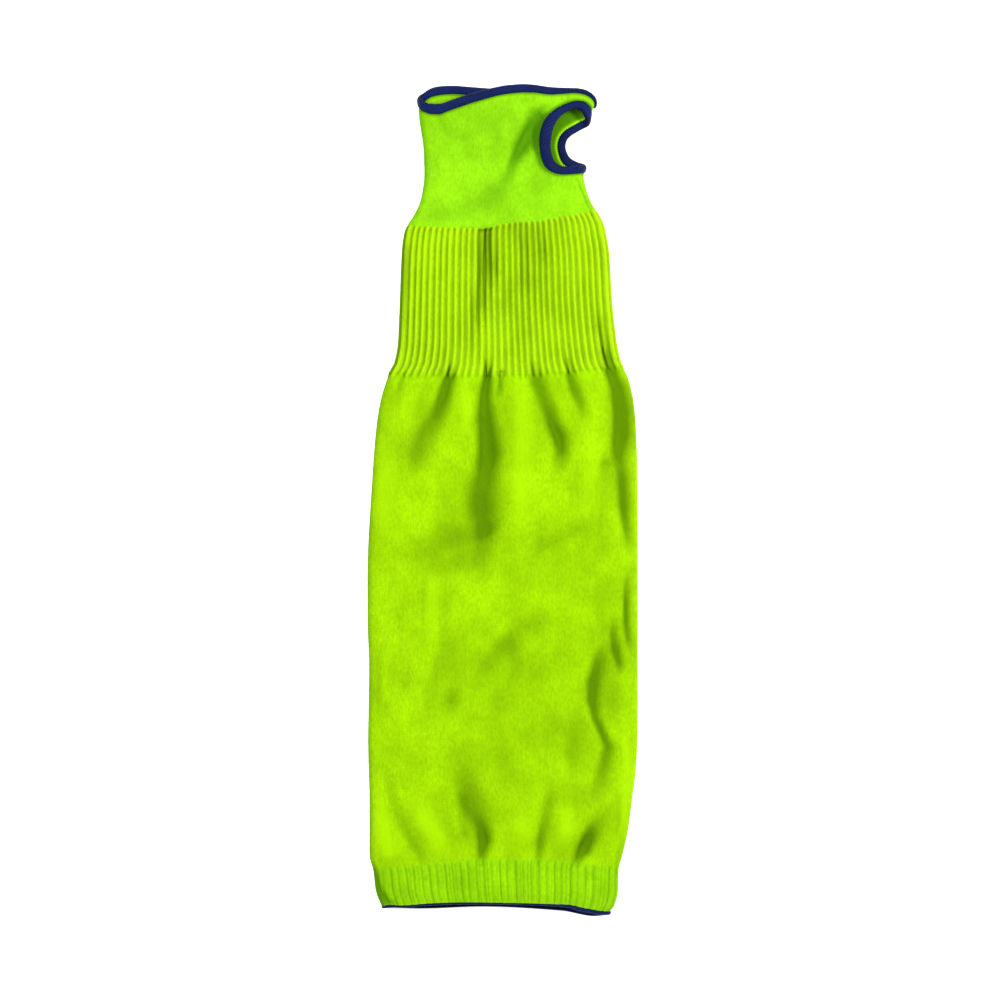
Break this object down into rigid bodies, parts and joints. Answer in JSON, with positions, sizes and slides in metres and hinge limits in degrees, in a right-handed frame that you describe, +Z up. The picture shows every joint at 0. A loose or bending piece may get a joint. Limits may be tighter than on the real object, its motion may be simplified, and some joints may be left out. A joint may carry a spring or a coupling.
{
  "type": "cut resistant sleeve",
  "caption": "Knitted protective arm sleeve lying flat, with a thumb opening, a ribbed wrist, a plain arm tube, a ribbed hem and bound edges.",
  "frame": {"origin": "middle of the sleeve's outline, on the surface that it lies on", "axes": "+X across the sleeve towards the thumb opening's side, +Y along the sleeve towards the hand end, +Z up from the surface"},
  "size_m": [0.1494, 0.457, 0.0175],
  "materials": {
    "hand_knit": "matt plain knit, bright yellow-green",
    "rib_knit": "matt rib knit, bright yellow-green",
    "arm_knit": "matt plain knit, bright yellow-green",
    "binding_yarn": "dark blue thread with a slight sheen"
  },
  "bodies": {
    "root": {"hand_section": "hand_knit", "wrist_rib": "rib_knit", "arm_section": "arm_knit", "hem_rib": "rib_knit", "hand_edge_binding": "binding_yarn", "thumb_edge_binding": "binding_yarn", "hem_edge_binding": "binding_yarn"}
  },
  "joints": []
}
